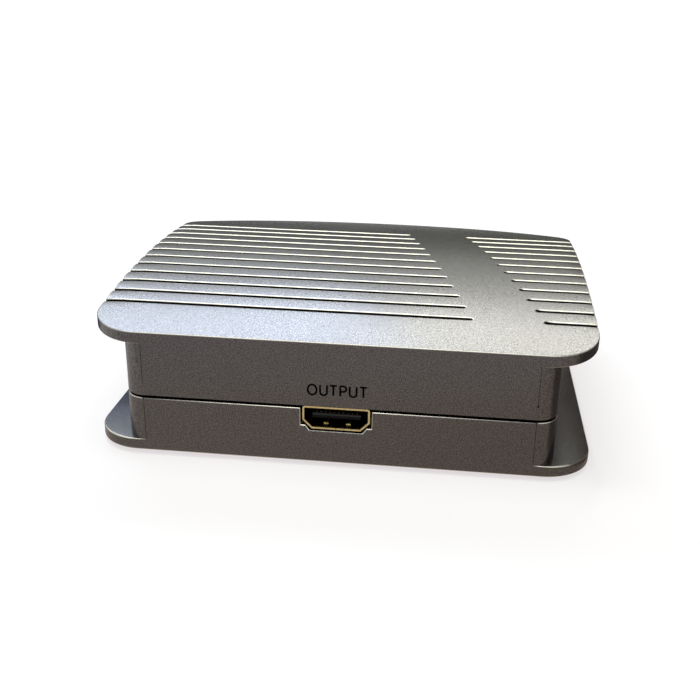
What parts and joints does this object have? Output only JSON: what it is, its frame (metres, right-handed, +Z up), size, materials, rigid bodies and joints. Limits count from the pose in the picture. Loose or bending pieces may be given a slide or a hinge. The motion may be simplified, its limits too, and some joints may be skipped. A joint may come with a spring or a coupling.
{
  "type": "hdmi switch",
  "caption": "Flat desktop HDMI switch: two overhanging plates round a narrower core, crowned grooved top, output socket at the back, input sockets and select button at the front.",
  "frame": {"origin": "middle of the footprint, on the surface that the rubber feet stand on", "axes": "+X along the width, to the right as seen from the output face; +Y from the output face to the input face; +Z up"},
  "size_m": [0.1134, 0.1024, 0.0342],
  "materials": {
    "case_paint": "metallic grey paint, satin",
    "foot_rubber": "matt",
    "screw_steel": "zinc plated",
    "board_laminate": "green solder mask",
    "shell_gold": "gold plated sheet",
    "black_insulator": "moulded",
    "contact_gold": "gold plated",
    "black_moulding": "moulded",
    "tinned_leads": "tinned",
    "button_plastic": "satin",
    "plunger_plastic": "moulded",
    "clear_guide": "clear",
    "led_resin": "clear",
    "dark_window": "dark red, polished",
    "can_aluminium": "drawn",
    "ferrite": "sintered",
    "fuse_resin": "matt"
  },
  "bodies": {
    "case": {"top_cover": "case_paint", "bottom_cover": "case_paint", "rubber_feet": "foot_rubber", "case_screws": "screw_steel", "circuit_board": "board_laminate", "board_screws": "screw_steel", "output_shell": "shell_gold", "output_insulator": "black_insulator", "output_contacts": "contact_gold", "input_shell_1": "shell_gold", "input_insulator_1": "black_insulator", "input_contacts_1": "contact_gold", "input_shell_2": "shell_gold", "input_insulator_2": "black_insulator", "input_contacts_2": "contact_gold", "input_shell_3": "shell_gold", "input_insulator_3": "black_insulator", "input_contacts_3": "contact_gold", "supply_socket_body": "black_moulding", "supply_centre_pin": "tinned_leads", "supply_contact_leaf": "tinned_leads", "tactile_switch": "black_moulding", "light_guides": "clear_guide", "status_leds": "led_resin", "receiver_window": "dark_window", "infrared_receiver": "black_moulding", "receiver_leads": "tinned_leads", "switch_chip": "black_moulding", "switch_chip_leads": "tinned_leads", "controller_chip": "black_moulding", "controller_chip_leads": "tinned_leads", "voltage_regulator": "black_moulding", "regulator_leads": "tinned_leads", "capacitor_cans": "can_aluminium", "capacitor_bases": "black_moulding", "power_inductor": "ferrite", "crystal": "can_aluminium", "surge_arrays": "black_moulding", "chip_resistors": "black_moulding", "supply_fuse": "fuse_resin"},
    "select_button": {"select_button": "button_plastic", "tactile_plunger": "plunger_plastic"}
  },
  "joints": [
    {"name": "select_press", "type": "slide", "parent": "case", "child": "select_button", "axis": [0, -1, 0], "range_m": [0, 0.00035], "stiffness_N_per_m": 1500, "springref_m": -0.0003}
  ]
}
